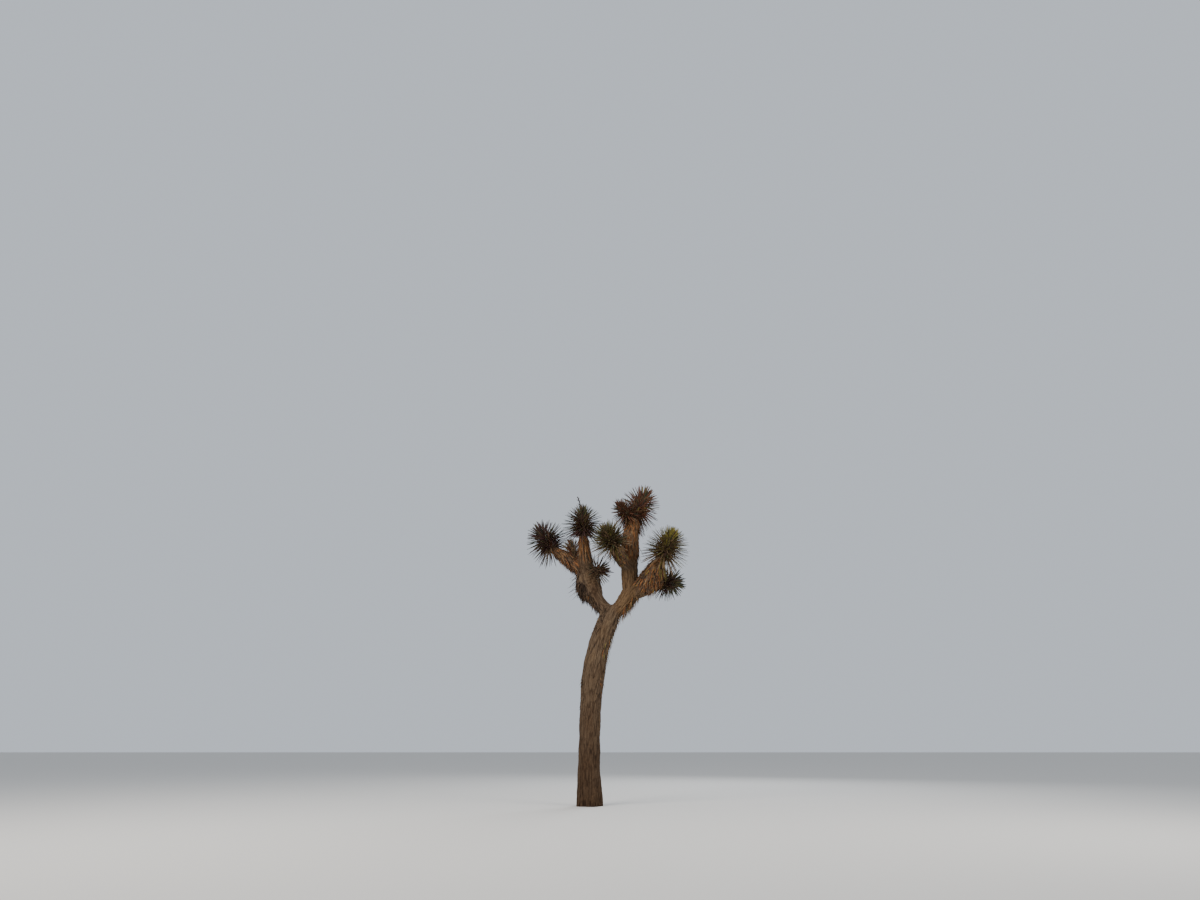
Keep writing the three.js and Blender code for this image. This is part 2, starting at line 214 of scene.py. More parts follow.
def radius_at(stops, share):
    """The radius at these shares of a limb's length, eased from each stop to the next."""
    at, radius = np.array(stops, float).T
    after = np.clip(np.searchsorted(at, share), 1, len(at) - 1)
    within = smoothstep(share, at[after - 1], at[after])
    return mix(radius[after - 1], radius[after], within)


def reach_of(limb, share, out):
    """How far a limb's surface stands from its axis, at these shares and toward these directions."""
    reach = radius_at(limb["radii"], share)
    if limb["roots"]:
        fading = np.maximum(0, 1 - share / limb["roots"]) ** 2
        lobe = (1 + np.cos(FLARE_LOBES * np.arctan2(out[..., 1], out[..., 0]))) / 2
        reach = reach + FLARE_DEPTH * fading * lobe
    if limb["thatch"]:
        (begins, stops), toward, depth = limb["thatch"]
        begun = smoothstep(share, begins, mix(begins, stops, THATCH_FULL_FROM))
        ending = smoothstep(share, mix(begins, stops, THATCH_FULL_TO), stops)
        reach = reach + depth * begun * (1 - ending) * np.maximum(0, out @ direction(*toward))
    return reach


def bark_reach(limb, share, out):
    """The bark's own reach, under the dead leaves that clothe a limb."""
    return reach_of(limb, share, out) - radius_at(limb["skirt"], share)


def square_to(limb, share):
    """Two directions square to a limb's path, the first as near to +Y as it can be."""
    tangent = unit(on_path(limb, "tangents", share))
    far = np.array((0.0, 1.0, 0.0))
    first = unit(far - tangent * (tangent @ far)[..., None])
    return first, np.cross(tangent, first)


def nearest_on(limb, places):
    """For each place, the share of the limb beside it, the way out from the axis, and how far."""
    marks = np.linspace(0, 1, MARKS_TO_SEARCH + 1)
    axis = on_path(limb, "points", marks)
    tangents = unit(on_path(limb, "tangents", marks))
    spans = ((places[:, None, :] - axis[None]) ** 2).sum(-1)
    mark = spans.argmin(1)
    beyond = ((places - axis[mark]) * tangents[mark]).sum(-1) / limb["length"]
    half_step = 0.5 / MARKS_TO_SEARCH
    share = np.clip(marks[mark] + np.clip(beyond, -half_step, half_step), 0, 1)
    away = places - on_path(limb, "points", share)
    distance = np.linalg.norm(away, axis=-1)
    return share, away / np.maximum(distance, LEAST_DISTANCE)[:, None], distance


trunk = new_limb(
    "trunk",
    ((0, 0, 0), (0, 0, UPRIGHT_HEIGHT), LEAN_STARTS, FORK),
    [[0, 0.162], [FLARE_SHARE, 0.150], [0.45, 0.144], [0.62, 0.157], [0.82, 0.150], [1, 0.144]],
    dome=0.06,
    roots=FLARE_SHARE,
)
left_bough = new_bough(
    "left_bough", (0.255, 0.050, 2.640), (163, 48), (156, 8), 0.720,
    [[0, 0.098], [0.3, 0.098], [0.55, 0.144], [0.8, 0.168], [1, 0.150]],
    thatch=((-0.2, 0.95), (190, 110), 0.034),
)
far_left_bough = new_bough(
    "far_left_bough", (-0.015, 0.140, 3.190), (152, 50), (155, 60), 0.775,
    [[0, 0.104], [0.5, 0.092], [1, 0.074]],
    thatch=((0.05, 0.85), (200, 150), 0.026),
    skirt=((0.15, 0), (0.35, 0.016), (1, 0.016)),
)
upper_left_bough = new_bough(
    "upper_left_bough", (-0.045, 0.140, 3.175), (180, 6), (-113, 17), 0.595,
    [[0, 0.110], [0.45, 0.116], [0.7, 0.098], [1, 0.076]],
    skirt=((0.3, 0), (0.45, 0.016), (1, 0.016)),
)
right_bough = new_bough(
    "right_bough", (0.345, 0.050, 2.575), (-17, 48), (-15, 32), 0.505,
    [[0, 0.100], [0.3, 0.118], [1, 0.130]],
    dome=0.3,
)
middle_bough = new_bough(
    "middle_bough", (0.605, -0.030, 2.830), (-170, 5), (34, 12), 1.215,
    [[0, 0.112], [0.2, 0.120], [0.36, 0.118], [0.43, 0.138], [0.62, 0.148], [0.85, 0.126], [1, 0.092]],
    dome=0.08,
    skirt=((0.36, 0), (0.44, 0.022), (1, 0.020)),
)
inner_bough = new_bough(
    "inner_bough", (0.580, -0.060, 3.240), (-138, 50), (-130, 51), 0.435,
    [[0, 0.090], [0.6, 0.108], [1, 0.102]],
    skirt=((0.3, 0), (0.5, 0.014), (1, 0.014)),
)
outer_right_bough = new_bough(
    "outer_right_bough", (0.635, -0.040, 2.800), (-27, 48), (-33, 36), 0.735,
    [[0, 0.060], [0.3, 0.132], [0.5, 0.148], [0.75, 0.136], [1, 0.084]],
    thatch=((0.25, 0.9), (-40, 130), 0.026),
    skirt=((0.3, 0), (0.5, 0.018), (1, 0.018)),
)
lower_right_bough = new_bough(
    "lower_right_bough", (0.895, -0.120, 2.990), (41, 84), (40, 67), 0.240,
    [[0, 0.084], [1, 0.072]],
    skirt=((0, 0.010), (1, 0.012)),
)
boughs = [
    left_bough, far_left_bough, upper_left_bough, right_bough, middle_bough,
    inner_bough, outer_right_bough, lower_right_bough,
]
limbs = [trunk, *boughs]


def limb_form(limb):
    """A smooth round limb along its path, its last stretch closing in a dome."""
    form = bmesh.new()
    bmesh.ops.create_cone(form, cap_ends=True, segments=LIMB_SIDES, radius1=1, radius2=1, depth=1)
    lengthways = [e for e in form.edges if abs(e.verts[0].co.z - e.verts[1].co.z) > 0.5]
    bmesh.ops.subdivide_edges(form, edges=lengthways, cuts=LIMB_RINGS - 1, use_grid_fill=True)
    places = np.array([v.co for v in form.verts])
    share = places[:, 2] + 0.5
    first, second = square_to(limb, share)
    out = first * places[:, :1] + second * places[:, 1:2]
    into_dome = np.maximum(0, (share - (1 - limb["dome"])) / limb["dome"])
    closing = np.sqrt(1 - DOME_CLOSING * into_dome**2)
    surface = on_path(limb, "points", share) + out * (bark_reach(limb, share, out) * closing)[:, None]
    if limb is trunk:
        surface[share < 0.5 / LIMB_RINGS, 2] -= TRUNK_SUNK
    for vertex, place in zip(form.verts, surface):
        vertex.co = place
    return as_mesh(form, limb["name"])


tree_form = bmesh.new()
for each in limbs:
    one = limb_form(each)
    tree_form.from_mesh(one)
    bpy.data.meshes.remove(one)
rough_mesh = as_mesh(tree_form, "rough_tree")
rough_tree = in_scene("rough_tree", rough_mesh)
one_skin = rough_tree.modifiers.new("one_skin", "REMESH")
one_skin.mode = "VOXEL"
one_skin.voxel_size = SKIN_GRAIN
even_out = rough_tree.modifiers.new("even_out", "SMOOTH")
even_out.factor = SMOOTHED_EACH_TIME
even_out.iterations = SKIN_SMOOTHING
bpy.context.view_layer.update()
skin = bpy.data.meshes.new_from_object(rough_tree.evaluated_get(bpy.context.evaluated_depsgraph_get()))
bpy.data.objects.remove(rough_tree)
bpy.data.meshes.remove(rough_mesh)

crotch_form = bmesh.new()
crotch_form.from_mesh(skin)
near_crotch = [v for v in crotch_form.verts if (v.co - CROTCH).length < CROTCH_ROUNDED]
for _ in range(CROTCH_ROUNDING):
    bmesh.ops.smooth_vert(
        crotch_form, verts=near_crotch, factor=SMOOTHED_EACH_TIME,
        use_axis_x=True, use_axis_y=True, use_axis_z=True,
    )
crotch_form.to_mesh(skin)
crotch_form.free()

skin_places = np.zeros(len(skin.vertices) * 3)
skin.vertices.foreach_get("co", skin_places)
skin_places = skin_places.reshape(-1, 3)
skin_normals = np.zeros(len(skin.vertices) * 3)
skin.vertex_normals.foreach_get("vector", skin_normals)
skin_normals = skin_normals.reshape(-1, 3)

# The bark's relief. Each limb has furrows of its own, read from its own place in the noise, and
# they run softly into the next limb's where the two meet.
DEEPEST_FURROW = 0.015
MIDDLE_OF_RELIEF = 0.62
DEEPER_AT_FOOT = 0.35
ROUGH_FOOT_HEIGHT = 0.9
# The bark's colour carries painted shade that darkens it from this height down to the foot.
PAINTED_FOOT_SHADE_HEIGHT = 1.9
LIMBS_BLEND_OVER = 0.010
LEAST_BLENDED = 0.03
NEXT_LIMB_READS = (7.3, 3.1, 5.7)
GRAIN_BEND = 0.009
GRAIN_BEND_SIZE = (0.10, 0.10, 0.22)
GRAIN_BENDS_READ = (11, 23)
FIBRE_SIZE = (0.011, 0.011, 0.07)
FIBRE_SHARE = 0.20
FIBRE_READS = 59

# Each kind of split: its size (across, across, along), how soon it is at full height, its share of
# the relief, and where in the noise it is read.
SPLITS = [
    ((0.038, 0.038, 0.30), 0.24, 0.40, 0),
    ((0.023, 0.023, 0.12), 0.20, 0.26, 31),
    ((0.052, 0.052, 0.060), 0.07, 0.14, 47),
]

# Low lumps everywhere, and knobs on the right bough, up the middle bough as far as its skirt, and
# lower ones on the outer right bough.
LUMP_SIZE = (0.12, 0.12, 0.19)
LUMP_HEIGHT = 0.010
LUMPS_READ = 5.0
KNOB_SIZE = (0.050, 0.050, 0.042)
KNOB_HEIGHT = 0.007
KNOBS_READ = 17.0
KNOBS_FADE = (0.36, 0.46)
OUTER_RIGHT_KNOBS = 0.6

# Wrinkles round the upper part of the left bough, where it is swollen under its forks.
WRINKLE_SPACING = 0.046
WRINKLE_HEIGHT = 0.003
WRINKLE_RELIEF = 0.12
WRINKLE_WANDER = 2.4
WRINKLES_BEGIN = (0.52, 0.66)
WRINKLES_END = (0.94, 1.0)
WRINKLED_FROM_X = (-0.09, -0.01)
WRINKLED_TO_X = (0.09, 0.15)
SHALLOWER_IF_WRINKLED = 0.45
WARMER_IF_WRINKLED = 0.35
SKIRT_DEPTH = 0.016
GRAIN_STEP = 3.0


def fades(value, low, high):
    """1 below this stretch, 0 above it."""
    return 1 - smoothstep(value, low, high)


def ripple(places, size, offset):
    """Smooth noise from -1 to 1 with lumps of this size (across, across, along)."""
    scaled = places / np.array(size) + offset
    return np.array([noise.noise(place) for place in scaled.tolist()])


def furrows(around_and_along, order):
    """Bark relief from 0, the bottom of a furrow, to 1, the top of a ridge."""
    drift = order * np.array(NEXT_LIMB_READS)
    bent = around_and_along.copy()
    for way, offset in enumerate(GRAIN_BENDS_READ):
        bent[:, way] += GRAIN_BEND * ripple(around_and_along, GRAIN_BEND_SIZE, drift + offset)
    raised = np.zeros(len(bent))
    for size, full_at, share, offset in SPLITS:
        raised += share * smoothstep(np.abs(ripple(bent, size, drift + offset)), 0.0, full_at)
    fibre = 0.5 + 0.7 * ripple(bent, FIBRE_SIZE, drift + FIBRE_READS)
    return raised + FIBRE_SHARE * fibre


nearness = np.zeros((len(limbs), len(skin_places)))
local = np.zeros((len(limbs), len(skin_places), 3))
for order, each in enumerate(limbs):
    share, out, distance = nearest_on(each, skin_places)
    first, second = square_to(each, share)
    girth = radius_at(each["radii"], share)
    beyond = np.maximum(distance - bark_reach(each, share, out), -2 * LIMBS_BLEND_OVER)
    nearness[order] = np.exp(-beyond / LIMBS_BLEND_OVER)
    local[order, :, 0] = (out * first).sum(-1) * girth
    local[order, :, 1] = (out * second).sum(-1) * girth
    local[order, :, 2] = share * each["length"]
nearness /= nearness.sum(0)

relief = np.zeros(len(skin_places))
for order, each in enumerate(limbs):
    close = nearness[order] > LEAST_BLENDED
    relief[close] += nearness[order][close] * furrows(local[order][close], order)
relief /= np.where(nearness > LEAST_BLENDED, nearness, 0).sum(0)

own = {each["name"]: nearness[order] for order, each in enumerate(limbs)}
along = {each["name"]: local[order, :, 2] / each["length"] for order, each in enumerate(limbs)}
lumps = ripple(skin_places, LUMP_SIZE, LUMPS_READ)
knobs = ripple(skin_places, KNOB_SIZE, KNOBS_READ)
knobbly = own["middle_bough"] * fades(along["middle_bough"], *KNOBS_FADE)
knobbly += own["right_bough"] + OUTER_RIGHT_KNOBS * own["outer_right_bough"]
wrinkled = smoothstep(skin_places[:, 0], *WRINKLED_FROM_X) * fades(skin_places[:, 0], *WRINKLED_TO_X)
wrinkled *= smoothstep(along["left_bough"], *WRINKLES_BEGIN) * fades(along["left_bough"], *WRINKLES_END)
wrinkled *= own["left_bough"]
up_left_bough = along["left_bough"] * left_bough["length"]
wrinkles = np.sin(up_left_bough * 2 * math.pi / WRINKLE_SPACING + WRINKLE_WANDER * lumps)
relief += WRINKLE_RELIEF * wrinkled * wrinkles

height = DEEPEST_FURROW * (relief - MIDDLE_OF_RELIEF)
height *= 1 + DEEPER_AT_FOOT * fades(skin_places[:, 2], 0, ROUGH_FOOT_HEIGHT)
height *= 1 - SHALLOWER_IF_WRINKLED * wrinkled
height += LUMP_HEIGHT * lumps + KNOB_HEIGHT * knobbly * knobs + WRINKLE_HEIGHT * wrinkled * wrinkles
skin_places += skin_normals * height[:, None]
skin.vertices.foreach_set("co", skin_places.ravel())

# What the bark's finish reads: which way its grain runs, how high it stands for painted furrow shade,
# and how golden it is.
grain = local[nearness.argmax(0), np.arange(len(skin_places))]
grain[:, 2] += nearness.argmax(0) * GRAIN_STEP
warmth = own["right_bough"] + knobbly + WARMER_IF_WRINKLED * wrinkled
for each in boughs:
    warmth += own[each["name"]] * radius_at(each["skirt"], along[each["name"]]) / SKIRT_DEPTH
warmth = np.clip(warmth, 0, 1)
skin.attributes.new("grain", "FLOAT_VECTOR", "POINT").data.foreach_set("vector", grain.ravel())
skin.attributes.new("relief", "FLOAT", "POINT").data.foreach_set("value", relief)
skin.attributes.new("warmth", "FLOAT", "POINT").data.foreach_set("value", warmth)


def new_finish(name, roughness, specular):
    """A material, with its nodes, its links and its shader at hand."""
    finish = bpy.data.materials.new(name)
    finish.use_nodes = True
    shader = finish.node_tree.nodes["Principled BSDF"]
    shader.inputs["Roughness"].default_value = roughness
    shader.inputs["Specular IOR Level"].default_value = specular
    return finish, finish.node_tree.nodes, finish.node_tree.links, shader


def speckle(nodes, links, coordinates, size, detail):
    """A noise pattern on these coordinates, with this many lumps to a metre each way (x, y, z)."""
    stretch = nodes.new("ShaderNodeMapping")
    stretch.inputs["Scale"].default_value = size
    pattern = nodes.new("ShaderNodeTexNoise")
    pattern.inputs["Scale"].default_value = 1
    pattern.inputs["Detail"].default_value = detail
    links.new(coordinates, stretch.inputs["Vector"])
    links.new(stretch.outputs["Vector"], pattern.inputs["Vector"])
    return pattern.outputs["Fac"]


def shade_card(nodes, links, value, stops):
    """Turns a value into colour along a card of stops [value, (r, g, b)]."""
    card = nodes.new("ShaderNodeValToRGB")
    card.color_ramp.elements[0].position = stops[0][0]
    card.color_ramp.elements[0].color = (*stops[0][1], 1)
    card.color_ramp.elements[1].position = stops[-1][0]
    card.color_ramp.elements[1].color = (*stops[-1][1], 1)
    for at, colour in stops[1:-1]:
        card.color_ramp.elements.new(at).color = (*colour, 1)
    links.new(value, card.inputs["Fac"])
    return card.outputs["Color"]


def blend_colours(nodes, links, kind, share, first, second):
    """Mixes two colours. share is a number or a socket."""
    blend = nodes.new("ShaderNodeMix")
    blend.data_type = "RGBA"
    blend.blend_type = kind
    if isinstance(share, (int, float)):
        blend.inputs[0].default_value = share
    else:
        links.new(share, blend.inputs[0])
    links.new(first, blend.inputs[6])
    links.new(second, blend.inputs[7])
    return blend.outputs[2]


def brought_along(nodes, name):
    """What the mesh brings along for each of its points, as the sockets of its own node."""
    brought = nodes.new("ShaderNodeAttribute")
    brought.attribute_name = name
    return brought.outputs


def stand_out(nodes, links, shader, pattern, strength, distance):
    """Lets a pattern stand out of the surface as fine relief."""
    bump = nodes.new("ShaderNodeBump")
    bump.inputs["Strength"].default_value = strength
    bump.inputs["Distance"].default_value = distance
    links.new(pattern, bump.inputs["Height"])
    links.new(bump.outputs["Normal"], shader.inputs["Normal"])


def bark_finish():
    """Darker in the furrows and toward the foot with painted shade, golden where it is warm, then
    streaked, patched and dusted.
    """
    finish, nodes, links, shader = new_finish("corky_bark", roughness=0.92, specular=0.18)
    depth = brought_along(nodes, "relief")["Fac"]
    warm = brought_along(nodes, "warmth")["Fac"]
    place = nodes.new("ShaderNodeTexCoord").outputs["Object"]
    grain_way = brought_along(nodes, "grain")["Vector"]
    fibre = speckle(nodes, links, grain_way, size=(125, 125, 20), detail=5)
    patch = speckle(nodes, links, place, size=(5, 5, 2.5), detail=3)
    dust = speckle(nodes, links, place, size=(60, 60, 60), detail=4)
    height = nodes.new("ShaderNodeSeparateXYZ")
    links.new(place, height.inputs["Vector"])
    rising = nodes.new("ShaderNodeMapRange")
    rising.inputs["From Min"].default_value = 0
    rising.inputs["From Max"].default_value = PAINTED_FOOT_SHADE_HEIGHT
    links.new(height.outputs["Z"], rising.inputs["Value"])
    # Painted shade: both tones grow darker toward the bottom of the furrows.
    wood_with_furrow_shade = shade_card(nodes, links, depth, [
        [0.10, (0.024, 0.015, 0.009)],
        [0.40, (0.054, 0.034, 0.020)],
        [0.68, (0.082, 0.053, 0.032)],
        [0.95, (0.112, 0.077, 0.048)],
    ])
    golden_with_furrow_shade = shade_card(nodes, links, depth, [
        [0.10, (0.030, 0.017, 0.009)],
        [0.50, (0.078, 0.046, 0.023)],
        [0.95, (0.140, 0.087, 0.045)],
    ])
    colour = blend_colours(nodes, links, "MIX", warm, wood_with_furrow_shade, golden_with_furrow_shade)
    strands = [[0.30, (0.62, 0.58, 0.55)], [0.55, (1.0, 1.0, 1.0)], [0.75, (1.36, 1.32, 1.24)]]
    patches = [[0.32, (0.78, 0.70, 0.62)], [0.52, (1.0, 1.0, 1.0)], [0.70, (1.14, 1.10, 1.00)]]
    dusting = [[0.35, (0.86, 0.85, 0.84)], [0.65, (1.12, 1.10, 1.08)]]
    # Painted shade: the bark grows darker toward its foot, fading out 1.9 metres up.
    painted_foot_shade = [[0.0, (0.56, 0.48, 0.42)], [0.6, (0.88, 0.85, 0.82)], [1.0, (1.0, 1.0, 1.0)]]
    layers = [
        (fibre, 0.85, strands),
        (patch, 0.9, patches),
        (dust, 0.8, dusting),
        (rising.outputs["Result"], 1.0, painted_foot_shade),
    ]
    for pattern, strength, stops in layers:
        shade = shade_card(nodes, links, pattern, stops)
        colour = blend_colours(nodes, links, "MULTIPLY", strength, colour, shade)
    links.new(colour, shader.inputs["Base Color"])
    stand_out(nodes, links, shader, fibre, strength=0.55, distance=0.006)
    return finish


CUT_TOLERANCE = 1e-6
corky_bark = bark_finish()


def bark_piece(name, cuts):
    """The bark behind these cuts (a place on each and the way it faces), closed across each one."""
    form = bmesh.new()
    form.from_mesh(skin)
    for place, faces in cuts:
        everything = [*form.verts, *form.edges, *form.faces]
        cut = bmesh.ops.bisect_plane(
            form, geom=everything, dist=CUT_TOLERANCE, plane_co=place, plane_no=faces, clear_outer=True,
        )
        rim = [part for part in cut["geom_cut"] if isinstance(part, bmesh.types.BMEdge)]
        bmesh.ops.edgenet_fill(form, edges=rim)
    mesh = as_mesh(form, name)
    mesh.materials.clear()
    mesh.materials.append(corky_bark)
    mesh.shade_smooth()
    piece = in_scene(name, mesh)
    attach(piece, "root")
    return piece


away_from_crotch = tuple(-part for part in CROTCH_CUT_FACES)
above_fork = (FORK_CUT, (0, 0, -1))
trunk_bark = bark_piece("trunk_bark", [(FORK_CUT, (0, 0, 1)), ((0, 0, 0), (0, 0, -1))])
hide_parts("trunk")
left_bark = bark_piece("left_bough_bark", [above_fork, (CROTCH_CUT, CROTCH_CUT_FACES)])
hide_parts("left_bough", "far_left_bough", "upper_left_bough")
right_bark = bark_piece("right_bough_bark", [above_fork, (CROTCH_CUT, away_from_crotch)])
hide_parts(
    "right_bough", "middle_bough", "inner_bough", "outer_right_bough", "lower_right_bough",
)
bpy.data.meshes.remove(skin)


# Dead leaves stay on a bough for years. They fold back along it and overlap like thatch, rust and
# straw coloured where they are fresh, and weathered brown where they are old and about to fall.

DEAD_LEAF_WIDTH = 0.015
DEAD_LEAF_THICKNESS = 0.0035
DEAD_LEAF_SUNK = 0.006
GOLDEN_ANGLE = 137.508
BELOW_ONE = 0.9999
MERGE_DISTANCE = 1e-5
DOWN = np.array((0, 0, -1.0))

# How uneven dead leaves are: their length, width and lift as shares of the row's, the degrees that
# they turn aside, and how far they curl and hang, in shares of their length. A few stray ones lift
# more degrees than the rest, and the higher the rarity, the fewer do.
DEAD_LENGTHS = (0.72, 1.28)
DEAD_WIDTHS = (0.75, 1.25)
DEAD_LIFTS = (0.35, 1.65)
DEAD_TURNS = (-4.5, 4.5)
DEAD_CURLS = (-0.062, 0.038)
DEAD_HANG = 0.34
STRAY_LIFT = 16
STRAY_RARITY = 9


def varied(limits, index, purpose):
    """A number between these limits for each leaf."""
    return mix(*limits, chance(index, purpose))


def dealt(tones, index, purpose):
    """A tone for each leaf, dealt out by these shares."""
    return np.searchsorted(np.cumsum(tones) / sum(tones), chance(index, purpose) * BELOW_ONE)


def turned(first, second, angle):
    """The direction this far round from the first toward the second, for each leaf."""
    return first * np.cos(angle)[:, None] + second * np.sin(angle)[:, None]


def blade_form(stations):
    """One blade a unit long: flat above, keeled underneath, closed, with its tip drawn to a point.

    stations are [height, width] up the blade. Its three-sided start is the root of 3 wide and 1.5 deep.
    """
    form = bmesh.new()
    bmesh.ops.create_cone(form, cap_ends=True, segments=3, radius1=1, radius2=1, depth=1)
    bmesh.ops.translate(form, verts=form.verts, vec=(0, 0, 0.5))
    for height, _ in stations[1:-1]:
        everything = [*form.verts, *form.edges, *form.faces]
        bmesh.ops.bisect_plane(
            form, geom=everything, dist=CUT_TOLERANCE, plane_co=(0, 0, height), plane_no=(0, 0, 1),
        )
    lowest = min(v.co.y for v in form.verts)
    for vertex in form.verts:
        width = min(stations, key=lambda station: abs(station[0] - vertex.co.z))[1]
        vertex.co.x *= width / math.sqrt(3)
        vertex.co.y = (vertex.co.y - lowest) * width / 1.5
    bmesh.ops.remove_doubles(form, verts=form.verts, dist=MERGE_DISTANCE)
    bmesh.ops.recalc_face_normals(form, faces=form.faces)
    form.verts.ensure_lookup_table()
    corners = np.array([v.co for v in form.verts])
    faces = [[v.index for v in face.verts] for face in form.faces]
    heights = [sum(corners[k, 2] for k in face) / len(face) for face in faces]
    form.free()
    return corners, faces, np.array(heights)


def joined_blades(name, blade, leaves, materials, tones_of):
    """Every leaf as its own closed blade, all joined in one mesh, with a tone for each of its faces."""
    corners, faces, heights = blade
    root, heading, keel = leaves["root"], leaves["heading"], leaves["keel"]
    keel = unit(keel - heading * (keel * heading).sum(-1)[:, None])
    side = np.cross(heading, keel)
    t = corners[:, 2][None, :, None]
    reach = leaves["reach"][:, None, None]
    spine = root[:, None] + heading[:, None] * reach * t + leaves["bend"][:, None] * reach * t * t
    across = side[:, None] * corners[None, :, :1] * leaves["width"][:, None, None]
    deep = keel[:, None] * corners[None, :, 1:2] * leaves["thickness"][:, None, None]
    places = (spine + across + deep).reshape(-1, 3)
    count = len(corners)
    lists = [[k + n * count for k in face] for n in range(len(root)) for face in faces]
    mesh = bpy.data.meshes.new(name)
    mesh.from_pydata(places, [], lists)
    for material in materials:
        mesh.materials.append(material)
    slots = np.array([tones_of(tone, heights) for tone in leaves["tone"]]).ravel()
    mesh.polygons.foreach_set("material_index", slots.astype(np.int32))
    mesh.update()
    piece = in_scene(name, mesh)
    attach(piece, "root")
    return piece


def one_tone(tone, heights):
    """A leaf in one tone from its root to its tip."""
    return np.full(len(heights), tone)


def dry_finish(name, dark, light):
    """A dry fibrous leaf, its colour wandering between two tones along fine streaks."""
    finish, nodes, links, shader = new_finish(name, roughness=0.82, specular=0.22)
    place = nodes.new("ShaderNodeTexCoord").outputs["Object"]
    streak = speckle(nodes, links, place, size=(70, 70, 18), detail=4)
    colour = shade_card(nodes, links, streak, [[0.30, dark], [0.70, light]])
    links.new(colour, shader.inputs["Base Color"])
    stand_out(nodes, links, shader, streak, strength=0.35, distance=0.002)
    return finish


dead_finishes = [
    dry_finish("rust_dead_leaf", (0.110, 0.042, 0.014), (0.270, 0.112, 0.038)),
    dry_finish("straw_dead_leaf", (0.130, 0.076, 0.035), (0.275, 0.172, 0.084)),
    dry_finish("weathered_dead_leaf", (0.054, 0.032, 0.019), (0.128, 0.080, 0.049)),
    dry_finish("dark_dead_leaf", (0.014, 0.008, 0.005), (0.048, 0.028, 0.016)),
    dry_finish("olive_straw_dead_leaf", (0.095, 0.070, 0.018), (0.230, 0.175, 0.048)),
]
DEAD_BLADE = [[0, 0.9], [0.3, 1.0], [0.72, 0.62], [1, 0]]

# Each row: limb, the stretch its leaves grow from, the side they face, how wide an arc they fill,
# how many, how long, how many degrees they stand off, and how much there is of each of the finishes.
SKIRTS = [
    (middle_bough, (0.56, 0.99), (0, 90), 360, 1750, 0.165, 5, (0.54, 0.10, 0.29, 0.07, 0)),
    (upper_left_bough, (0.70, 0.99), (0, 90), 360, 560, 0.140, 5, (0.62, 0.14, 0.18, 0.06, 0)),
    (upper_left_bough, (0.46, 0.74), (0, 90), 360, 440, 0.130, 5, (0.06, 0.03, 0.50, 0.27, 0.14)),
    (far_left_bough, (0.30, 0.99), (0, 90), 360, 950, 0.170, 6, (0.28, 0.04, 0.42, 0.26, 0)),
    (outer_right_bough, (0.42, 0.99), (0, 90), 360, 320, 0.140, 9, (0.32, 0.05, 0.42, 0.18, 0.03)),
    (inner_bough, (0.38, 0.99), (0, 90), 360, 1000, 0.072, 2, (0.20, 0.04, 0.46, 0.22, 0.08)),
    (lower_right_bough, (0.20, 0.99), (0, 90), 360, 260, 0.130, 8, (0.22, 0.08, 0.42, 0.28, 0)),
    (left_bough, (0.53, 0.76), (180, 105), 116, 380, 0.120, 14, (0.03, 0.01, 0.26, 0.70, 0)),
    (left_bough, (0.72, 0.99), (188, 95), 64, 120, 0.110, 16, (0.04, 0.01, 0.40, 0.55, 0)),
    (middle_bough, (0.90, 1.0), (0, 90), 360, 420, 0.130, 16, (0.56, 0.12, 0.26, 0.06, 0)),
    (upper_left_bough, (0.90, 1.0), (0, 90), 360, 240, 0.110, 11, (0.64, 0.14, 0.16, 0.06, 0)),
    (far_left_bough, (0.90, 1.0), (0, 90), 360, 220, 0.110, 6, (0.28, 0.04, 0.42, 0.26, 0)),
    (outer_right_bough, (0.90, 1.0), (0, 90), 360, 260, 0.100, 9, (0.30, 0.08, 0.40, 0.12, 0.10)),
    (middle_bough, (0.96, 1.0), (0, 90), 360, 300, 0.125, 18, (0.60, 0.12, 0.22, 0.06, 0)),
    (upper_left_bough, (0.96, 1.0), (0, 90), 360, 150, 0.100, 12, (0.64, 0.14, 0.16, 0.06, 0)),
]

# Short ends of broken leaves, standing off every way like rough scales. The rows are read the same.
SCALES = [
    (outer_right_bough, (0.30, 0.99), (0, 90), 360, 1500, 0.060, 15, (0.30, 0.03, 0.46, 0.18, 0.03)),
    (left_bough, (0.50, 0.78), (180, 105), 126, 160, 0.060, 24, (0.03, 0.01, 0.30, 0.66, 0)),
    (middle_bough, (0.52, 0.64), (0, 90), 360, 160, 0.060, 14, (0.34, 0.06, 0.38, 0.22, 0)),
]


